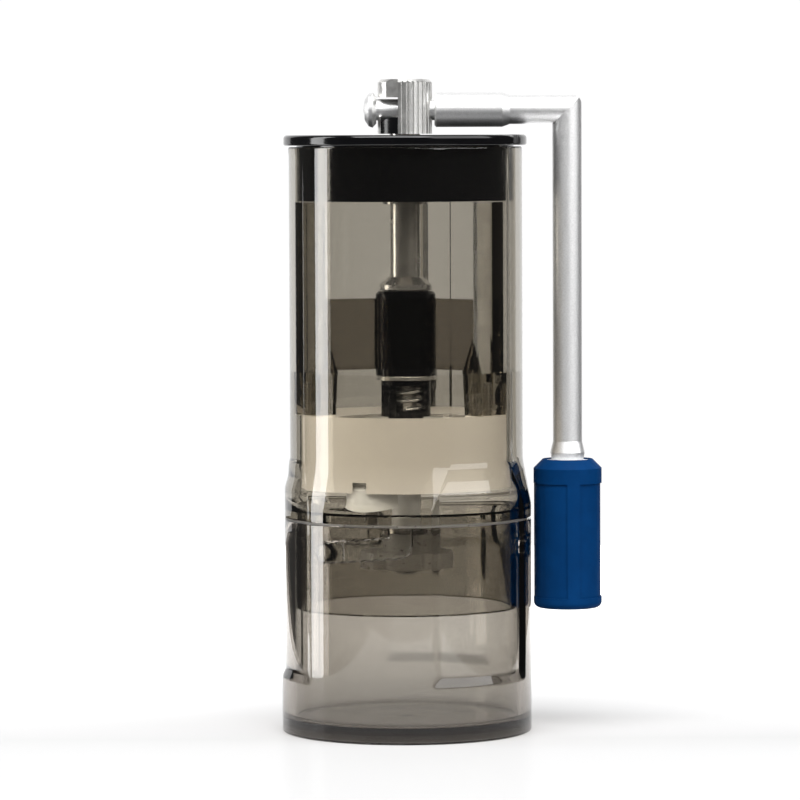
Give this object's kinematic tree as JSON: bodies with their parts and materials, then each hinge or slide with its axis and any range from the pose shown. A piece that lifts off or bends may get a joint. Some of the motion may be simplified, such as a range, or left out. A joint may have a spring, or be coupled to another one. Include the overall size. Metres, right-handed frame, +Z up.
{
  "type": "hand crank coffee grinder",
  "caption": "Hand crank coffee grinder: clear smoke body over a bayonet cup, conical burrs, black lid, folding metal crank with a blue grip.",
  "frame": {"origin": "centre of the cup's flat base, on the drive shaft's axis", "axes": "+Z up along the drive shaft, +X towards the folded crank and its grip, -Y is the front"},
  "size_m": [0.0923, 0.072, 0.1875],
  "materials": {
    "smoke_plastic": "glossy clear smoke-grey copolyester",
    "clear_silicone": "satin translucent silicone",
    "black_plastic": "glossy black moulding",
    "cream_plastic": "satin cream moulding",
    "ceramic": "ground white ceramic",
    "white_nylon": "satin natural nylon",
    "polished_steel": "fine turned stainless steel",
    "nickel": "bright nickel-plated casting",
    "bronze": "oil-filled sintered bronze",
    "hex_steel": "blackened steel",
    "blasted_aluminium": "bead-blasted, clear anodised",
    "blue_rubber": "matte blue rubber"
  },
  "bodies": {
    "cup": {"cup": "smoke_plastic"},
    "gasket": {"rim_gasket": "clear_silicone"},
    "housing": {"hopper_body": "smoke_plastic", "bearing_spider": "smoke_plastic", "upper_bush": "black_plastic", "lower_bush": "black_plastic", "burr_carrier": "cream_plastic", "carrier_screws": "polished_steel", "outer_burr": "ceramic", "burr_retaining_ring": "polished_steel", "lock_stud": "polished_steel"},
    "lock_washer": {"lock_washer": "white_nylon"},
    "lock_nut": {"lock_nut": "white_nylon"},
    "lid": {"lid": "black_plastic", "lid_base": "black_plastic", "lid_bush": "bronze"},
    "crank": {"crank_hub": "nickel", "hub_insert": "black_plastic", "hub_screw": "polished_steel", "upper_shaft": "polished_steel", "shaft_collar": "polished_steel", "shaft_clip": "polished_steel"},
    "arm": {"crank_arm": "blasted_aluminium", "pivot_sleeve": "blasted_aluminium", "pivot_pin": "blasted_aluminium", "grip_spindle": "polished_steel", "grip_washer": "polished_steel", "grip_screw": "polished_steel"},
    "grip": {"grip_core": "white_nylon", "grip_sleeve": "blue_rubber"},
    "drive": {"lower_shaft": "polished_steel", "drive_coupler": "hex_steel", "thrust_washer": "polished_steel", "spring_sleeve": "black_plastic", "burr_spring": "polished_steel"},
    "inner_burr": {"inner_burr": "ceramic", "spring_seat": "black_plastic", "burr_spacer": "white_nylon", "click_disc": "polished_steel"},
    "adjuster": {"adjuster_wheel": "smoke_plastic"}
  },
  "joints": [
    {"name": "body_lift", "type": "slide", "parent": "cup", "child": "gasket", "axis": [0, 0, 1], "range_m": [0, 0.002]},
    {"name": "body_twist", "type": "hinge", "parent": "gasket", "child": "housing", "pos_m": [0, 0, 0], "axis": [0, 0, 1], "range_deg": [0, 39.6]},
    {"name": "nut_travel", "type": "slide", "parent": "housing", "child": "lock_washer", "axis": [0, 0, 1], "range_m": [-0.0021, 0]},
    {"name": "lock_nut_turn", "type": "hinge", "parent": "lock_washer", "child": "lock_nut", "pos_m": [-0.00953, -0.02016, 0.068], "axis": [0, 0, 1], "range_deg": [-1080, 0]},
    {"name": "lid_lift", "type": "slide", "parent": "housing", "child": "lid", "axis": [0, 0, 1], "range_m": [0, 0.05]},
    {"name": "crank_turn", "type": "hinge", "parent": "lid", "child": "crank", "pos_m": [0, 0, 0.1716], "axis": [0, 0, 1], "continuous": true},
    {"name": "arm_fold", "type": "hinge", "parent": "crank", "child": "arm", "pos_m": [0, 0, 0.1788], "axis": [1, 0, 0], "range_deg": [0, 180]},
    {"name": "grip_spin", "type": "hinge", "parent": "arm", "child": "grip", "pos_m": [0.0465, 0, 0.057], "axis": [0, 0, 1], "continuous": true},
    {"name": "drive_spin", "type": "hinge", "parent": "housing", "child": "drive", "pos_m": [0, 0, 0.1], "axis": [0, 0, 1], "continuous": true},
    {"name": "burr_travel", "type": "slide", "parent": "drive", "child": "inner_burr", "axis": [0, 0, 1], "range_m": [-0.0012, 0], "deforming": ["burr_spring"]},
    {"name": "adjuster_turn", "type": "hinge", "parent": "inner_burr", "child": "adjuster", "pos_m": [0, 0, 0.0514], "axis": [0, 0, 1], "range_deg": [-540, 0]}
  ],
  "couplings": [
    {"joint": "body_lift", "follows": "body_twist", "m_per_rad": 0.0028937},
    {"joint": "drive_spin", "follows": "crank_turn", "ratio": 1},
    {"joint": "adjuster_turn", "follows": "burr_travel", "rad_per_m": 7853.9},
    {"joint": "lock_nut_turn", "follows": "nut_travel", "rad_per_m": 8975.9}
  ]
}
